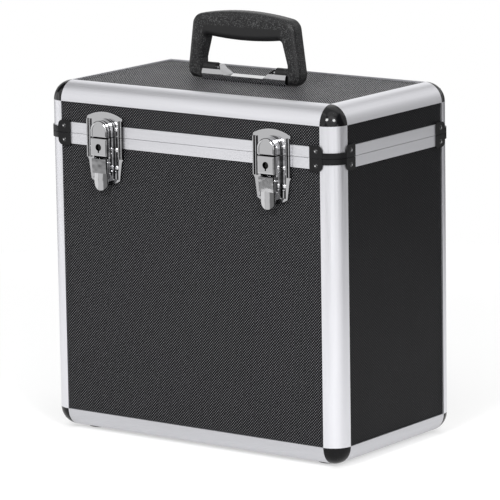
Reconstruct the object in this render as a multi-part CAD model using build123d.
"""Record carrying case: a boarded box with aluminium edge trims, a hinged lid, two key latches and a handle.

Frame: +Z up, the front (latches) faces -Y, the origin is on the floor under the middle of the case.
Each sub-part is one STEP file in parts/. Lengths are millimetres.
"""
import os
from build123d import *

# ---- shell ------------------------------------------------------------------------------------
case_width = 350.0           # outside the trims, left to right
case_depth = 200.0           # outside the trims, front to back
case_height = 350.0          # shell only, without feet and handle
lid_height = 50.0            # from the seam to the top of the shell
foot_stand = 2.5             # gap that the feet leave under the shell
seam_gap = 0.4               # between lid and case
board = 5.0                  # thickness of the side, floor and lid boards
trim_lip = 1.5               # aluminium that laps over the face of a board
inner_lip = 1.5              # aluminium behind a board
edge_radius = 19.0           # round of the edge trims
board_grip = 4.2             # how far a board goes into an edge trim
trim_wall = 1.3              # metal left round the hollow of a trim
trim_hollow = (3.9, 2.7)     # hollow in each arm of a trim, along and across the arm
over = 1.0                   # cutting tools run past a face by this much

# ---- rims at the seam ---------------------------------------------------------------------------
rim_height = 10.5            # face of each rim strip
rim_web = 1.5                # metal over the board's edge
tongue = (1.5, 2.5)          # thickness and height of the tongue on the case rim
tongue_gap = 0.6             # play of the tongue in the lid's groove
groove_extra = 0.5           # depth of the groove beyond the tongue

# ---- corner pieces ------------------------------------------------------------------------------
coupler_skin = 1.3           # how far a coupler stands proud of the trims
coupler_band = 5.5           # height of the band round the upright trims
ear_height = 12.3            # height of a coupler's ear
ear_span = (15.5, 30.3)      # where an ear starts and ends, from the corner of the shell
ear_round = 5.5
ear_rivet = (23.0, 7.0)      # rivet's place: from the corner of the shell, and from the seam
peg_play = 0.15
peg_length = 8.0

# ---- linings, feet and fasteners ----------------------------------------------------------------
lining = 3.0
soft_gap = 0.3               # foam stays this far off hard parts
lining_step = 1.0            # linings end this far short of the seam
foot_radius = 13.5
foot_margin = (1.5, 2.0)     # feet to the trims' inner edges, along X and Y
foot_edge = 0.8              # round of the foot's lower edge
foot_screw = (1.6, 3.4, 1.8)  # shank radius, head radius, head height
foot_screw_sunk = 0.6        # head above the foot's underside
foot_screw_bite = 3.5
rivet_head = (2.3, 1.1)      # radius and height of a rivet's dome
rivet_shank = 1.2
rivet_bite = 4.0             # shank below the sheet that the head sits on
rivet_edge = 0.4             # metal between the rim strip and the rivets under it
hole_play = 0.05             # radial play of rivets, screws and pins
hole_spare = 0.2             # blind holes are deeper than what sits in them

# ---- hardware -----------------------------------------------------------------------------------
hinge_stand = 12.0           # hinges stand this far out of the shell
hinge_inset = 75.0           # hinge centres from the sides of the shell
hinge_width = 50.0
hinge_leaf = (30.0, 1.5)     # height and thickness of a leaf
hinge_leaf_round = 4.0
hinge_barrel = 5.5
hinge_swing = 0.8            # leaves stay this far off the other leaf's knuckles
hinge_pin = 2.0
hinge_pin_head = (3.2, 1.2)
knuckles = 5
knuckle_gap = 0.3
hinge_rivets = (17.0, 22.0)  # across from the middle, and from the seam

latch_inset = 74.0           # latch centres from the sides of the shell
latch_stand = 12.0           # flat fronts of the latches out of the shell
latch_sheet = 1.2
latch_half = 21.8            # half width of the plates
latch_ridges = ((17.0, 18.6), (20.0, 21.8))   # raised ridges along the edges of the plates
latch_ridge_height = 3.0
latch_ridge_round = 0.7
ridge_short = (2.5, 0.6)     # ridges end below the strike's shoulder, and above the plate's taper
strike_shoulder = 19.0       # height of the strike plate at its sides
strike_crown = 24.5          # and at its middle
plate_wide = 22.0            # the wide part of the latch plate, down from the seam
plate_taper = (20.3, 24.5)   # half width and depth where the narrow part starts
plate_foot = (17.6, 43.0)    # half width and depth at the bottom corners
plate_bottom = 48.0
boss_steps = ((11.4, 3.6), (10.85, 7.4), (10.3, 12.0))   # half widths and heights
boss_round = 2.0             # round of the boss's and the housing's front edges
boss_part = 0.5              # boss and housing stay this far from the middle of the seam
boss_arch = 6.4              # where the arched steps turn round, above the seam
boss_wall = 1.2
boss_face = (7.5, 0.4, 1.4)  # half width, depth and lower edge of the sunk face
housing_height = 18.6        # lock housing, down from the seam
channel_half = 9.0           # half width of the lever's channel
channel_height = 42.5
latch_rivet_out = 13.9
latch_rivet_step = 5.5       # lower rivets below the lever's pivot
flange_swell = (1.6, 9.0, 2.6)   # half width, length and height of the swelling under the lower rivet
swell_round = 1.3
swell_gap = 0.8              # between the lower rivet and the swelling
strike_rivet_up = 8.2
lever_gap = 2.4              # slot between housing and lever
lever_half = 8.6
lever_face = 14.2            # flat part of the lever
lever_drop = 0.8             # the flat leans in by this much at its foot
lever_pivot = (7.6, 3.4)     # out of the rim's face, and below the lever's top edge
lever_hub = 2.8
lever_pin = 0.75
tab_half = 8.4               # half the width of the finger tab, and the round of its tip
tab_bend = 17.0              # radius of its bend across
tab_crown = 10.6             # how far the tab stands out
tab_length = 17.2
tab_clear = 0.8              # tab over the latch plate
keyhole = (3.5, 0.8, 5.4)    # radius, half width and drop of the slot
lock_drop = 9.4              # lock's centre below the seam
cam_hub = 3.0
cam_post = (1.2, 4.8)        # radius, and how far it stands out
cam_gap = (1.0, 1.5)         # cam off the plate, and off the housing's face
cam_arm = (1.2, 6.2, 1.2)    # half width, reach and thickness
cam_arm_gap = 1.0            # arm in front of the hook
key_slot = (0.5, 1.5)        # half width and depth
hook_pivot_drop = 15.4
hook_pin = 1.0
hook_hub = 1.9
hook_bars = (5.3, 6.7)       # inner and outer half widths of the hook's bars
hook_bar = 1.2
hook_nose_reach = 1.2        # how far the nose stands behind the bars
ledge = (1.9, 3.4)           # strike ledge, above the seam
ledge_stand = 3.0
hook_gap = 0.3               # nose clear of the ledge, in front and above
nose = 1.5
spring_sheet = 0.4
spring_gap = (0.6, 4.0)      # spring to the channel's sides, and to its foot

# ---- handle -------------------------------------------------------------------------------------
handle_axis_up = 10.5        # pivot above the top of the shell
handle_height = 69.0         # crown of the grip above the top of the shell
grip_depth = 19.0
grip_foot = (52.3, 69.8)     # inner and outer half widths at the feet of the legs
grip_top = (45.6, 60.9)      # and at their tops
splay_gap = 0.7              # the legs' inner faces are upright up to this far past the base's trough
grip_shoulder = 62.7         # outer corner above the shell
grip_inside = (43.1, 40.2)   # underside of the bar, at its ends and at its middle
shoulder_rounds = (12.0, 4.0)    # rounds of the outer and inner corners at the bar
grip_foot_round = 12.0       # round of the outer corners at the feet
grip_round = 6.0             # round of all long edges
grip_foot_reach = 11.2       # feet below the pivot
stub_radius = 5.0
stub_play = 0.3
stub_root = 6.0              # how far a stub runs into its leg
base_gap = 1.5               # base to the legs' inner faces
base_radius = 8.0            # round of its trough
base_middle_up = 4.5         # middle of that round above the shell
base_lip_down = 1.0          # lips of the trough below the pivot
cheek = (36.2, 33.5, 23.5)   # outer face, top edge and foot of a slanted cheek, from the middle
cheek_top = (3.8, 13.5, 2.5)     # half depth of a cheek's top, its height above the shell and its set-back
cheek_sheet = 1.8            # thickness of a cheek, level
pin_lug = 2.6                # half depth of the lug behind a cheek
bridge_up = 4.5              # top of the middle bridge above the shell
handle_pin = (1.5, 33.0, 58.0)   # radius, inner end and outer end
handle_screw = (1.6, 3.4, 2.0)   # shank radius, head radius and head height
handle_screw_out = 43.0
handle_screw_bite = 4.0

# ---- worked out ---------------------------------------------------------------------------------
half_w = case_width / 2
half_d = case_depth / 2
hinge_offset = half_w - hinge_inset
latch_offset = half_w - latch_inset
shell_bottom = foot_stand
shell_top = shell_bottom + case_height
shell_mid = (shell_bottom + shell_top) / 2
seam = shell_top - lid_height
case_edge = seam - seam_gap / 2
lid_edge = seam + seam_gap / 2
rim_depth = trim_lip + board + inner_lip
board_start = edge_radius - board_grip
groove_depth = tongue[1] + seam_gap + groove_extra
foot_x = half_w - edge_radius - foot_margin[0] - foot_radius
foot_y = half_d - edge_radius - foot_margin[1] - foot_radius
hinge_y = half_d + hinge_stand - hinge_barrel
hinge_clear = hinge_barrel + hinge_swing
case_rivet_down = rim_height + seam_gap / 2 + rivet_shank + rivet_edge
lever_top = housing_height + lever_gap
lever_pivot_down = lever_top + lever_pivot[1]
lower_rivet_down = lever_pivot_down + latch_rivet_step
hook_out = ledge_stand + hook_gap + hook_nose_reach + hook_bar / 2
handle_z = shell_top + handle_axis_up
grip_splay = handle_axis_up + base_radius + splay_gap
base_half = grip_foot[0] - base_gap
panel_top = shell_top - trim_lip
same = 0.01                  # points closer than this are one point


def box_between(low, high):
    """A box given by its two far corners."""
    size = [b - a for a, b in zip(low, high)]
    middle = [(a + b) / 2 for a, b in zip(low, high)]
    return Pos(*middle) * Box(*size)


def rect(x0, y0, x1, y1):
    """A flat rectangle given by its two far corners."""
    return Pos((x0 + x1) / 2, (y0 + y1) / 2) * Rectangle(x1 - x0, y1 - y0)


def rod(radius, start, end):
    """A round bar between two points."""
    line = Vector(*end) - Vector(*start)
    return Plane(origin=start, z_dir=line) * extrude(Circle(radius), line.length)


def flip(shape, *planes):
    """The shape mirrored in each plane in turn."""
    for plane in planes:
        shape = mirror(shape, about=plane)
    return shape


def both_sides(shape):
    """The shape and its left-right mirror image."""
    return [shape, flip(shape, Plane.YZ)]


def four_corners(shape):
    """The shape and its mirror images at the other three upright edges."""
    return [twin for half in both_sides(shape) for twin in (half, flip(half, Plane.XZ))]


def group(shapes):
    """Separate solids in one node."""
    return Compound(children=[solid for shape in shapes for solid in shape.solids()])


def upside_down(shape):
    """The shape mirrored at half the shell's height."""
    return flip(shape, Plane.XY.offset(shell_mid))


# ---- fasteners ----------------------------------------------------------------------------------
def rivet(length):
    """Dome-headed rivet: the head stands on z = 0 and the shank hangs below it."""
    radius, height = rivet_head
    sphere = (radius ** 2 + height ** 2) / (2 * height)
    dome = Pos(0, 0, height - sphere) * Sphere(sphere) & box_between(
        (-radius, -radius, 0), (radius, radius, height))
    return dome + Pos(0, 0, -length / 2) * Cylinder(rivet_shank, length)


def seat(point, outward):
    """A frame at a point with +Z pointing out of the surface."""
    return Plane(origin=point, z_dir=outward)


def drill(shape, seats, radius, depth):
    """The shape with a round hole below each seat."""
    tool = Pos(0, 0, (over - depth) / 2) * Cylinder(radius, depth + over)
    return shape - [place * tool for place in seats]


def rivets(seats, sheet):
    """A rivet on each seat, through a sheet of that thickness."""
    return [place * rivet(sheet + rivet_bite) for place in seats]


def riveted(shape, seats, sheet):
    """The shape with the holes of those rivets."""
    return drill(shape, seats, rivet_shank + hole_play, sheet + rivet_bite + hole_spare)


def ear_seats(sign):
    """Seats on the ears of the four couplers; sign +1 is the lid's, -1 the case's."""
    across, up = ear_rivet
    z = seam + sign * up
    found = []
    for sx in (-1, 1):
        for sy in (-1, 1):
            found.append(seat((sx * (half_w - across), sy * (half_d + coupler_skin), z), (0, sy, 0)))
            found.append(seat((sx * (half_w + coupler_skin), sy * (half_d - across), z), (sx, 0, 0)))
    return found


def strike_seats():
    """Seats on the flanges of the two strike plates."""
    y = -half_d - latch_sheet
    return [seat((sx * latch_offset + su * latch_rivet_out, y, seam + strike_rivet_up), (0, -1, 0))
            for sx in (-1, 1) for su in (-1, 1)]


def latch_seats():
    """Seats on the flanges of the two latch plates."""
    y = -half_d - latch_sheet
    return [seat((sx * latch_offset + su * latch_rivet_out, y, seam - down), (0, -1, 0))
            for sx in (-1, 1) for su in (-1, 1) for down in (case_rivet_down, lower_rivet_down)]


def hinge_seats(sign):
    """Seats on the hinge leaves; sign +1 is the lid's, -1 the case's."""
    across, up = hinge_rivets
    y = half_d + hinge_leaf[1]
    return [seat((sx * hinge_offset + su * across, y, seam + sign * up), (0, 1, 0))
            for sx in (-1, 1) for su in (-1, 1)]


def case_drilled(shape):
    """A case board or rim with the holes of every rivet on the case."""
    shape = riveted(shape, ear_seats(-1), coupler_skin)
    shape = riveted(shape, latch_seats(), latch_sheet)
    return riveted(shape, hinge_seats(-1), hinge_leaf[1])


def lid_drilled(shape):
    """A lid board or rim with the holes of every rivet on the lid."""
    shape = riveted(shape, ear_seats(1), coupler_skin)
    shape = riveted(shape, strike_seats(), latch_sheet)
    return riveted(shape, hinge_seats(1), hinge_leaf[1])


# ---- edge trims and corner caps -----------------------------------------------------------------
def quarter_round(hollow=True, skin=0.0):
    """Section of an edge trim with the shell's corner at the origin and its arms along +X and +Y."""
    face = Pos(edge_radius, edge_radius) * Circle(edge_radius + skin)
    face = face & rect(-skin, -skin, edge_radius, edge_radius)
    face -= rect(rim_depth, rim_depth, edge_radius, edge_radius)
    cuts = [rect(board_start, trim_lip, edge_radius, trim_lip + board)]
    if hollow:
        far, top = board_start - trim_wall, rim_depth - trim_wall
        cuts.append(rect(far - trim_hollow[0], top - trim_hollow[1], far, top))
    for cut in cuts:
        face -= [cut, flip(cut, Plane(origin=(0, 0, 0), z_dir=(1, -1, 0)))]
    return face


def upright_trim(low, high):
    """Front left upright trim between two heights."""
    place = Plane(origin=(-half_w, -half_d, low))
    return place * extrude(quarter_round(), high - low)


def base_trim_front():
    run = half_w - edge_radius
    place = Plane(origin=(-run, -half_d, shell_bottom), x_dir=(0, 1, 0), z_dir=(1, 0, 0))
    return place * extrude(quarter_round(), 2 * run)


def base_trim_left():
    run = half_d - edge_radius
    place = Plane(origin=(-half_w, -run, shell_bottom), x_dir=(0, 0, 1), z_dir=(0, 1, 0))
    return place * extrude(quarter_round(), 2 * run)


def corner_cap():
    """Front left bottom cap: an eighth of a ball with pegs into the hollows of three trims."""
    r, lip, grip = edge_radius, trim_lip, board_start - peg_play
    cap = Pos(r, r, r) * Sphere(r) & box_between((0, 0, 0), (r, r, r))
    cap -= box_between((rim_depth,) * 3, (r,) * 3)
    slot = box_between((lip, grip, grip), (lip + board, r, r))
    far, top = board_start - trim_wall, rim_depth - trim_wall
    low = (r - peg_play, far - trim_hollow[0] + peg_play, top - trim_hollow[1] + peg_play)
    peg = box_between(low, (r + peg_length, far - peg_play, top - peg_play))
    pegs = [peg, flip(peg, Plane(origin=(0, 0, 0), z_dir=(0, 1, -1)))]
    turn = Axis((0, 0, 0), (1, 1, 1))
    cap -= [slot.rotate(turn, angle) for angle in (0, 120, 240)]
    cap += [one.rotate(turn, angle) for angle in (0, 120, 240) for one in pegs]
    return Pos(-half_w, -half_d, shell_bottom) * cap


# ---- boards -------------------------------------------------------------------------------------
def front_board(low, high):
    """Front board between two heights."""
    return box_between((-half_w + board_start, -half_d + trim_lip, low),
                       (half_w - board_start, -half_d + trim_lip + board, high))


def left_board(low, high):
    """Left board between two heights."""
    return box_between((-half_w + trim_lip, -half_d + board_start, low),
                       (-half_w + trim_lip + board, half_d - board_start, high))


def level_board(low):
    """Floor or top board."""
    x, y = half_w - board_start, half_d - board_start
    return box_between((-x, -y, low), (x, y, low + board))


def case_floor():
    floor = level_board(shell_bottom + trim_lip)
    seats = [seat((sx * foot_x, sy * foot_y, shell_bottom + trim_lip), (0, 0, -1))
             for sx in (-1, 1) for sy in (-1, 1)]
    return drill(floor, seats, foot_screw[0] + hole_play, foot_screw_bite + hole_spare)


def lid_top():
    """Top board with the counterbored holes of the handle's screws."""
    top = level_board(panel_top - board)
    shank, head, head_height = handle_screw
    under = [seat((sx * handle_screw_out, 0, panel_top - board), (0, 0, -1)) for sx in (-1, 1)]
    top = drill(top, under, shank + hole_play, board + over)
    return drill(top, under, head + hole_play, head_height + hole_play)


# ---- rims at the seam ---------------------------------------------------------------------------
def case_rim_section():
    """Section with the outer face at x = 0 and the top edge at y = 0."""
    face = rect(0, -rim_height, trim_lip, 0) + rect(0, -rim_web, rim_depth, 0)
    face += rect(rim_depth - inner_lip, -rim_height, rim_depth, 0)
    thick, tall = tongue
    return face + rect((rim_depth - thick) / 2, 0, (rim_depth + thick) / 2, tall)


def lid_rim_section():
    """Section with the outer face at x = 0 and the bottom edge at y = 0."""
    face = rect(0, 0, trim_lip, rim_height) + rect(0, 0, rim_depth, groove_depth + rim_web)
    face += rect(rim_depth - inner_lip, 0, rim_depth, rim_height)
    half = tongue[0] / 2 + tongue_gap
    return face - rect(rim_depth / 2 - half, 0, rim_depth / 2 + half, groove_depth)


def front_rim(section, height):
    run = half_w - edge_radius
    place = Plane(origin=(-run, -half_d, height), x_dir=(0, 1, 0), z_dir=(1, 0, 0))
    return place * extrude(section, 2 * run)


def left_rim(section, height):
    run = half_d - edge_radius
    place = Plane(origin=(-half_w, run, height), x_dir=(1, 0, 0), z_dir=(0, -1, 0))
    return place * extrude(section, 2 * run)


def coupler():
    """Front left coupler of the lid: a band round the upright trim and an ear on each rim."""
    band = extrude(quarter_round(hollow=False, skin=coupler_skin), coupler_band)
    start, end = ear_span
    ear = box_between((start, -coupler_skin, 0), (end, 0, ear_height))
    top_outer = ear.edges().filter_by(Axis.Y).group_by(Axis.Z)[-1].sort_by(Axis.X)[0]
    ear = fillet(top_outer, ear_round)
    twin = flip(ear, Plane(origin=(0, 0, 0), z_dir=(1, -1, 0)))
    return Pos(-half_w, -half_d, lid_edge) * (band + ear + twin)


def lid_couplers():
    return [riveted(one, ear_seats(1), coupler_skin) for one in four_corners(coupler())]


def case_couplers():
    lower = flip(coupler(), Plane.XY.offset(seam))
    return [riveted(one, ear_seats(-1), coupler_skin) for one in four_corners(lower)]


# ---- linings and feet ---------------------------------------------------------------------------
def lining_tray(low, high):
    """Open foam tray on the floor board, its walls up to a height."""
    gap = rim_depth + soft_gap
    x, y = half_w - gap, half_d - gap
    tray = box_between((-x, -y, low + gap), (x, y, high))
    step_x, step_y = half_w - edge_radius - soft_gap, half_d - edge_radius - soft_gap
    step_low = low + trim_lip + board + soft_gap
    tray += box_between((-step_x, -step_y, step_low), (step_x, step_y, low + gap))
    return tray - box_between((-x + lining, -y + lining, low + gap + lining),
                              (x - lining, y - lining, high))


def case_lining():
    return lining_tray(shell_bottom, case_edge - lining_step)


def lid_lining():
    low = lid_edge + lining_step
    return upside_down(lining_tray(shell_bottom, 2 * shell_mid - low))


def foot():
    """Front left foot with a counterbore for its screw."""
    shank, head, head_height = foot_screw
    thick = foot_stand + trim_lip
    disc = fillet(Cylinder(foot_radius, thick).faces().sort_by(Axis.Z)[0].edges(), foot_edge)
    disc = Pos(-foot_x, -foot_y, thick / 2) * disc
    under = [seat((-foot_x, -foot_y, 0), (0, 0, -1))]
    disc = drill(disc, under, head + hole_play, foot_screw_sunk + head_height)
    return drill(disc, under, shank + hole_play, thick + over)


def foot_screw_solid():
    shank, head, head_height = foot_screw
    top = foot_stand + trim_lip + foot_screw_bite
    low = foot_screw_sunk
    screw = rod(head, (0, 0, low), (0, 0, low + head_height)) + rod(shank, (0, 0, low), (0, 0, top))
    return Pos(-foot_x, -foot_y, 0) * screw


# ---- rear hinges --------------------------------------------------------------------------------
def hinge_leaf_solid(sign):
    """Leaf of the hinge at x = 0; sign +1 is the lid's, -1 the case's."""
    tall, thick = hinge_leaf
    half = hinge_width / 2
    z0, z1 = sorted((seam + sign * hinge_clear, seam + sign * tall))
    leaf = box_between((-half, half_d, z0), (half, half_d + thick, z1))
    outer_edges = leaf.edges().filter_by(Axis.Y).group_by(Axis.Z)[-1 if sign > 0 else 0]
    leaf = fillet(outer_edges, hinge_leaf_round)
    pitch = hinge_width / knuckles
    z0, z1 = sorted((seam, seam + sign * hinge_clear))
    for index in range(1 if sign > 0 else 0, knuckles, 2):
        x0 = -half + index * pitch + knuckle_gap / 2
        x1 = x0 + pitch - knuckle_gap
        leaf += box_between((x0, half_d, z0), (x1, half_d + thick, z1))
        leaf += rod(hinge_barrel, (x0, hinge_y, seam), (x1, hinge_y, seam))
    return leaf - rod(hinge_pin + hole_play, (-half, hinge_y, seam), (half, hinge_y, seam))


def hinge_leaf_at(side, sign):
    leaf = Pos(side * hinge_offset, 0, 0) * hinge_leaf_solid(sign)
    return riveted(leaf, hinge_seats(sign), hinge_leaf[1])


def hinge_pin_solid():
    radius, height = hinge_pin_head
    end = hinge_width / 2
    pin = rod(hinge_pin, (-end, hinge_y, seam), (end, hinge_y, seam))
    for side in (-1, 1):
        pin += rod(radius, (side * end, hinge_y, seam), (side * (end + height), hinge_y, seam))
    return Pos(hinge_offset, 0, 0) * pin


# ---- latches, built round the point on the rim's face at the seam, -Y outward ---------------------
def latch_box(u, out, z):
    """A box from spans across, out of the shell and up."""
    return box_between((u[0], -out[1], z[0]), (u[1], -out[0], z[1]))


def stand_up(face, out0, out1):
    """A face drawn in X and height, made solid between two distances out of the shell."""
    return Plane(origin=(0, -out0, 0), x_dir=(1, 0, 0), z_dir=(0, -1, 0)) * extrude(face, out1 - out0)


def ridges(z):
    """The ridges along both edges of a plate, with rounded fronts."""
    found = []
    for near, far in latch_ridges:
        bar = latch_box((near, far), (0, latch_ridge_height), z)
        front = bar.edges().filter_by(Axis.Z).group_by(Axis.Y)[0]
        found += both_sides(fillet(front, latch_ridge_round))
    return found


def arch(half, low, turn):
    """A face with straight sides from a height, and a round top."""
    round_top = Pos(0, turn) * Circle(half) & rect(-half, turn, half, turn + half)
    return rect(-half, low, half, turn) + round_top


def strike_plate():
    """The lid's half of a latch: an arched plate with a hollow stepped boss and the strike ledge."""
    low, half = seam_gap / 2, latch_half
    outline = Polyline((-half, strike_shoulder), (-half, low), (half, low), (half, strike_shoulder))
    outline += ThreePointArc((half, strike_shoulder), (0, strike_crown), (-half, strike_shoulder))
    plate = stand_up(make_face(outline), 0, latch_sheet)
    plate += ridges((low, strike_shoulder - ridge_short[0]))
    width, height = boss_steps[0]
    plate += stand_up(arch(width, boss_part, boss_arch), 0, height)
    width = boss_steps[-1][0]
    boss = stand_up(arch(width, boss_part, boss_arch), 0, latch_stand)
    plate += fillet(boss.faces().sort_by(Axis.Y)[0].edges(), boss_round)
    width -= boss_wall
    plate -= stand_up(arch(width, -low, boss_arch), latch_sheet, latch_stand - boss_wall)
    face, sink, face_low = boss_face
    plate -= stand_up(arch(face, face_low, boss_arch), latch_stand - sink, latch_stand + over)
    plate += latch_box((-width, width), (latch_sheet, ledge_stand), ledge)
    return plate


def keyhole_face():
    radius, half, drop = keyhole
    return Circle(radius) + rect(-half, -drop, half, 0)


def latch_plate():
    """The case's half of a latch: the plate, the lock housing and the lever's channel."""
    top, half = -seam_gap / 2, latch_half
    taper_u, taper_z = plate_taper
    foot_u, foot_z = plate_foot
    right = [(half, top), (half, -plate_wide), (taper_u, -taper_z), (foot_u, -foot_z)]
    left = [(-u, z) for u, z in reversed(right)]
    outline = Polyline(*left, *right)
    outline += ThreePointArc((foot_u, -foot_z), (0, -plate_bottom), (-foot_u, -foot_z))
    plate = stand_up(make_face(outline), 0, latch_sheet)
    plate += ridges((-plate_wide + ridge_short[1], top))
    half, long, high = flange_swell
    start = -lower_rivet_down - rivet_head[0] - swell_gap
    swell = latch_box((latch_rivet_out - half, latch_rivet_out + half), (0, high), (start - long, start))
    plate += both_sides(fillet(swell.faces().sort_by(Axis.Y)[0].edges(), swell_round))
    for width, height in boss_steps[:-1]:
        plate += latch_box((-width, width), (0, height), (-channel_height, -boss_part))
    width, height = boss_steps[-1]
    housing = latch_box((-width, width), (0, height), (-housing_height, -boss_part))
    plate += fillet(housing.faces().sort_by(Axis.Y)[0].edges(), boss_round)
    inside = width - boss_wall
    plate -= latch_box((-inside, inside), (latch_sheet, height - boss_wall), (-housing_height, 0))
    channel_low = -channel_height
    plate -= latch_box((-channel_half, channel_half), (latch_sheet, height), (channel_low, -housing_height))
    plate -= Pos(0, 0, -lock_drop) * stand_up(keyhole_face(), height - boss_wall - over, height + over)
    middle = (channel_low - housing_height) / 2
    near, far = (-latch_sheet, channel_low), (-height, channel_low)
    wedge = Polyline(near, far, (-height, middle), near)
    plate -= extrude(Plane.YZ.offset(-latch_half) * make_face(wedge), 2 * latch_half)
    post, post_out = cam_post
    plate += rod(post, (0, -latch_sheet, -lock_drop), (0, -post_out, -lock_drop))
    plate -= cross_rod(lever_pin + hole_play, latch_half, lever_pivot[0], lever_pivot_down)
    return plate - cross_rod(hook_pin + hole_play, latch_half, hook_out, hook_pivot_drop)


def cross_rod(radius, reach, out, down):
    """A bar across a latch, from side to side."""
    return rod(radius, (-reach, -out, -down), (reach, -out, -down))


def lock_cam():
    """Key cam on its post: a hub with a cross slot for the key, and the arm that it turns."""
    half, reach, thick = cam_arm
    post, post_out = cam_post
    slot, slot_deep = key_slot
    back = latch_sheet + cam_gap[0]
    front = latch_stand - boss_wall - cam_gap[1]
    hub = rod(cam_hub, (0, -back, 0), (0, -front, 0))
    arm_out = hook_out + hook_bar / 2 + cam_arm_gap
    hub += latch_box((-half, half), (arm_out, arm_out + thick), (0, reach))
    hub -= rod(post + hole_play, (0, 0, 0), (0, -post_out - hole_spare, 0))
    hub -= latch_box((-slot, slot), (front - slot_deep, front + over), (-cam_hub, cam_hub))
    return Pos(0, 0, -lock_drop) * hub


def lever():
    """Flip lever: a flat that leans in, cheeks to the pivot pin, and a round finger tab."""
    out, down = lever_pivot[0], lever_pivot_down
    top, foot = -lever_top, -lever_top - lever_face
    tip = foot - tab_length
    front_top, front_foot = -latch_stand, -latch_stand + lever_drop
    section = Polyline((front_top, top), (front_foot, foot), (front_foot + boss_wall, foot),
                       (front_top + boss_wall, top), (front_top, top))
    flat = extrude(Plane.YZ.offset(-lever_half) * make_face(section), 2 * lever_half)
    back = latch_sheet + tab_clear
    half_wall = boss_wall / 2
    side = Polyline((front_top + half_wall, top), (front_foot + half_wall, foot), (-back, foot),
                    (-out + lever_hub, -down), (-out, top), (front_top + half_wall, top))
    inside = lever_half - boss_wall
    wing = extrude(Plane.YZ.offset(inside) * make_face(side), boss_wall)
    wing += rod(lever_hub, (inside, -out, -down), (lever_half, -out, -down))
    body = flat + both_sides(wing)
    body += latch_box((-lever_half, lever_half), (back, -front_foot), (foot, foot + boss_wall))
    axis_y = -tab_crown + tab_bend
    tab = rod(tab_bend, (0, axis_y, tip), (0, axis_y, foot))
    tab -= rod(tab_bend - boss_wall, (0, axis_y, tip), (0, axis_y, foot))
    tip_round = stand_up(Pos(0, tip + tab_half) * Circle(tab_half), 0, tab_crown)
    tip_round += latch_box((-tab_half, tab_half), (0, tab_crown), (tip + tab_half, foot))
    tab = tab & tip_round & latch_box((-tab_half, tab_half), (back, tab_crown), (tip, foot))
    return body + tab - cross_rod(lever_pin + hole_play, latch_half, out, down)


def hook():
    """Rocking catch: two bars on a sleeve, joined by the nose in front of the strike ledge."""
    near, far = hook_bars
    nose_low = ledge[1] + hook_gap
    nose_back = ledge_stand + hook_gap
    span = (hook_out - hook_bar / 2, hook_out + hook_bar / 2)
    bar = latch_box((near, far), span, (-hook_pivot_drop, nose_low + nose))
    body = cross_rod(hook_hub, far, hook_out, hook_pivot_drop) + both_sides(bar)
    body += latch_box((-far, far), (nose_back, span[1]), (nose_low, nose_low + nose))
    return body - cross_rod(hook_pin + hole_play, latch_half, hook_out, hook_pivot_drop)


def latch_pins():
    """The lever's pin and the hook's pin of one latch."""
    return [cross_rod(lever_pin, boss_steps[-1][0], lever_pivot[0], lever_pivot_down),
            cross_rod(hook_pin, boss_steps[-1][0], hook_out, hook_pivot_drop)]


def latch_spring():
    """Leaf spring that lies on the latch plate behind the lever."""
    side_gap, foot_gap = spring_gap
    half = channel_half - side_gap
    span = (latch_sheet, latch_sheet + spring_sheet)
    return latch_box((-half, half), span, (-channel_height + foot_gap, -lever_pivot_down + lever_hub / 2))


def at_latch(side, shape):
    """A latch part moved to its place on the front."""
    return Pos(side * latch_offset, -half_d, seam) * shape


# ---- handle -------------------------------------------------------------------------------------
def grip_outline():
    """Front view of the grip: an arched bar on two legs, heights above the shell's top."""
    foot_in, foot_out = grip_foot
    top_in, top_out = grip_top
    end_up, middle_up = grip_inside
    low = handle_axis_up - grip_foot_reach - over
    left = Polyline((-top_in, end_up), (-foot_in, grip_splay), (-foot_in, low),
                    (-foot_out, low), (-top_out, grip_shoulder))
    crown = ThreePointArc((-top_out, grip_shoulder), (0, handle_height), (top_out, grip_shoulder))
    under = ThreePointArc((-top_in, end_up), (0, middle_up), (top_in, end_up))
    face = make_face([left, crown, flip(left, Plane.YZ), under])
    corners = zip(((top_out, grip_shoulder), (top_in, end_up), (foot_out, low)),
                  shoulder_rounds + (grip_foot_round,))
    for (x, up), radius in corners:
        pair = [v for v in face.vertices() if abs(abs(v.X) - x) < same and abs(v.Y - up) < same]
        face = fillet(pair, radius)
    return face


def handle_grip():
    """Moulded grip with round stubs turned inward at the feet of its legs."""
    half, wide = grip_foot_reach + over, grip_foot[1] + over
    place = Plane(origin=(0, grip_depth / 2, shell_top), x_dir=(1, 0, 0), z_dir=(0, -1, 0))
    grip = place * extrude(grip_outline(), grip_depth)
    grip = fillet(grip.faces().filter_by(Axis.Y).edges(), grip_round)
    kept = box_between((-wide, -half, handle_z), (wide, half, shell_top + handle_height + over))
    kept += rod(grip_foot_reach, (-wide, 0, handle_z), (wide, 0, handle_z))
    grip = grip & kept
    inner, outer = cheek[0] + stub_play, grip_foot[0] + stub_root
    grip += both_sides(rod(stub_radius, (inner, 0, handle_z), (outer, 0, handle_z)))
    radius, _, end = handle_pin
    hole = rod(radius + hole_play, (cheek[0], 0, handle_z), (end + hole_spare, 0, handle_z))
    return grip - both_sides(hole)


def base_section():
    """Section of the handle's base: a round trough with a narrower cheek above it, from the lid board up."""
    lip_up = handle_axis_up - base_lip_down
    trough = Pos(0, base_middle_up) * Circle(base_radius)
    trough = trough & rect(-base_radius, -trim_lip, base_radius, lip_up)
    half, top, back = cheek_top
    lip = (base_radius ** 2 - (lip_up - base_middle_up) ** 2) ** 0.5
    wall = Polyline((-lip, lip_up), (lip, lip_up), (back + half, top), (back - half, top), (-lip, lip_up))
    return trough + make_face(wall)


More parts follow.
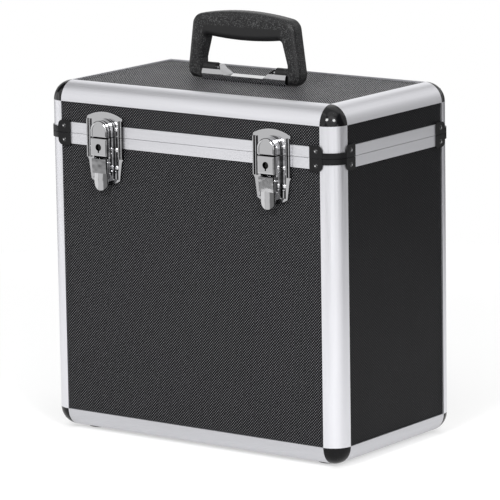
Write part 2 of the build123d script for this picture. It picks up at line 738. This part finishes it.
def behind_cheek(inward):
    """Everything outside a cheek's slanted outer face, or of a face that lies inward of it."""
    _, top_x, foot_x_in = cheek
    rise = cheek_top[1] - bridge_up
    lean = (top_x - foot_x_in) / rise
    low, high = -trim_lip, 2 * handle_axis_up
    near = [(foot_x_in + cheek_sheet - inward + lean * (z - bridge_up), z) for z in (low, high)]
    far = base_half + 2 * over
    face = make_face(Polyline(*near, (far, high), (far, low), near[0]))
    front = Plane(origin=(0, base_radius, shell_top), x_dir=(1, 0, 0), z_dir=(0, -1, 0))
    return front * extrude(face, 2 * base_radius)


def handle_base():
    """Pressed base: open troughs for the stubs, slanted cheeks with pin lugs and a low bridge."""
    place = Plane(origin=(-base_half, 0, shell_top), x_dir=(0, 1, 0), z_dir=(1, 0, 0))
    solid = place * extrude(base_section(), 2 * base_half)
    face_x, top_x, foot_x_in = cheek
    lips, tall = handle_axis_up - base_lip_down, cheek_top[1]
    lip_x = foot_x_in + cheek_sheet + (top_x - foot_x_in) * (lips - bridge_up) / (tall - bridge_up)
    right = [(foot_x_in, bridge_up), (top_x, tall), (top_x + cheek_sheet, tall), (lip_x, lips),
             (base_half, lips), (base_half, -trim_lip)]
    points = [(-x, z) for x, z in reversed(right)] + right
    front = Plane(origin=(0, base_radius, shell_top), x_dir=(1, 0, 0), z_dir=(0, -1, 0))
    solid = solid & front * extrude(make_face(Polyline(*points, points[0])), 2 * base_radius)
    groove = stub_radius + stub_play
    trough = rod(groove, (foot_x_in, 0, handle_z), (base_half + over, 0, handle_z))
    solid -= both_sides(trough & behind_cheek(0))
    lug = rod(pin_lug, (foot_x_in, 0, handle_z), (face_x, 0, handle_z))
    lug += box_between((foot_x_in, -pin_lug, handle_z - groove), (face_x, pin_lug, handle_z))
    solid += both_sides(lug & behind_cheek(cheek_sheet / 2))
    radius, inner, _ = handle_pin
    hole = rod(radius + hole_play, (inner - hole_spare, 0, handle_z), (face_x + over, 0, handle_z))
    solid -= both_sides(hole)
    under = [seat((sx * handle_screw_out, 0, panel_top), (0, 0, -1)) for sx in (-1, 1)]
    return drill(solid, under, handle_screw[0] + hole_play, handle_screw_bite + hole_spare)


def handle_pin_solid():
    radius, inner, outer = handle_pin
    return rod(radius, (inner, 0, handle_z), (outer, 0, handle_z))


def handle_screw_solid():
    shank, head, head_height = handle_screw
    x, under = handle_screw_out, panel_top - board
    screw = rod(head, (x, 0, under), (x, 0, under + head_height))
    return screw + rod(shank, (x, 0, under), (x, 0, panel_top + handle_screw_bite))


# ---- nodes --------------------------------------------------------------------------------------
def case_nodes():
    board_low, board_high = shell_bottom + board_start, case_edge - rim_web
    front = front_board(board_low, board_high)
    left = left_board(board_low, board_high)
    rim_front = front_rim(case_rim_section(), case_edge)
    rim_left = left_rim(case_rim_section(), case_edge)
    upright = upright_trim(shell_bottom + edge_radius, case_edge - coupler_band)
    return {
        "case_front_panel": case_drilled(front),
        "case_back_panel": case_drilled(flip(front, Plane.XZ)),
        "case_left_panel": case_drilled(left),
        "case_right_panel": case_drilled(flip(left, Plane.YZ)),
        "case_floor_panel": case_floor(),
        "case_upright_trims": group(four_corners(upright)),
        "base_trim_front": base_trim_front(),
        "base_trim_back": flip(base_trim_front(), Plane.XZ),
        "base_trim_left": base_trim_left(),
        "base_trim_right": flip(base_trim_left(), Plane.YZ),
        "base_corner_caps": group(four_corners(corner_cap())),
        "case_couplers": group(case_couplers()),
        "case_rim_front": case_drilled(rim_front),
        "case_rim_back": case_drilled(flip(rim_front, Plane.XZ)),
        "case_rim_left": case_drilled(rim_left),
        "case_rim_right": case_drilled(flip(rim_left, Plane.YZ)),
        "case_lining": case_lining(),
        "rubber_feet": group(four_corners(foot())),
        "foot_screws": group(four_corners(foot_screw_solid())),
        "case_rivets": group(rivets(ear_seats(-1), coupler_skin) + rivets(latch_seats(), latch_sheet)
                             + rivets(hinge_seats(-1), hinge_leaf[1])),
    }


def lid_nodes():
    board_low, board_high = lid_edge + groove_depth + rim_web, shell_top - board_start
    front = front_board(board_low, board_high)
    left = left_board(board_low, board_high)
    rim_front = front_rim(lid_rim_section(), lid_edge)
    rim_left = left_rim(lid_rim_section(), lid_edge)
    upright = upright_trim(lid_edge + coupler_band, shell_top - edge_radius)
    return {
        "lid_top_panel": lid_top(),
        "lid_front_panel": lid_drilled(front),
        "lid_back_panel": lid_drilled(flip(front, Plane.XZ)),
        "lid_left_panel": lid_drilled(left),
        "lid_right_panel": lid_drilled(flip(left, Plane.YZ)),
        "lid_upright_trims": group(four_corners(upright)),
        "top_trim_front": upside_down(base_trim_front()),
        "top_trim_back": flip(upside_down(base_trim_front()), Plane.XZ),
        "top_trim_left": upside_down(base_trim_left()),
        "top_trim_right": flip(upside_down(base_trim_left()), Plane.YZ),
        "lid_corner_caps": group(four_corners(upside_down(corner_cap()))),
        "lid_couplers": group(lid_couplers()),
        "lid_rim_front": lid_drilled(rim_front),
        "lid_rim_back": lid_drilled(flip(rim_front, Plane.XZ)),
        "lid_rim_left": lid_drilled(rim_left),
        "lid_rim_right": lid_drilled(flip(rim_left, Plane.YZ)),
        "lid_lining": lid_lining(),
        "lid_rivets": group(rivets(ear_seats(1), coupler_skin) + rivets(strike_seats(), latch_sheet)
                            + rivets(hinge_seats(1), hinge_leaf[1])),
        "handle_base": handle_base(),
        "handle_pins": group(both_sides(handle_pin_solid())),
        "handle_screws": group(both_sides(handle_screw_solid())),
        "handle_grip": handle_grip(),
    }


def hardware_nodes():
    nodes = {"hinge_pins": group(both_sides(hinge_pin_solid()))}
    pins, springs = [], []
    for name, side in (("left", -1), ("right", 1)):
        nodes[f"{name}_hinge_case_leaf"] = hinge_leaf_at(side, -1)
        nodes[f"{name}_hinge_lid_leaf"] = hinge_leaf_at(side, 1)
        nodes[f"{name}_strike_plate"] = riveted(at_latch(side, strike_plate()), strike_seats(), latch_sheet)
        nodes[f"{name}_latch_plate"] = riveted(at_latch(side, latch_plate()), latch_seats(), latch_sheet)
        nodes[f"{name}_latch_lever"] = at_latch(side, lever())
        nodes[f"{name}_latch_hook"] = at_latch(side, hook())
        nodes[f"{name}_lock_cam"] = at_latch(side, lock_cam())
        pins += [at_latch(side, pin) for pin in latch_pins()]
        springs.append(at_latch(side, latch_spring()))
    nodes["latch_pins"] = group(pins)
    nodes["latch_springs"] = group(springs)
    return nodes


os.makedirs("parts", exist_ok=True)
for node, shape in (case_nodes() | lid_nodes() | hardware_nodes()).items():
    export_step(shape, f"parts/{node}.step")
    print(node, len(shape.solids()), round(shape.volume))
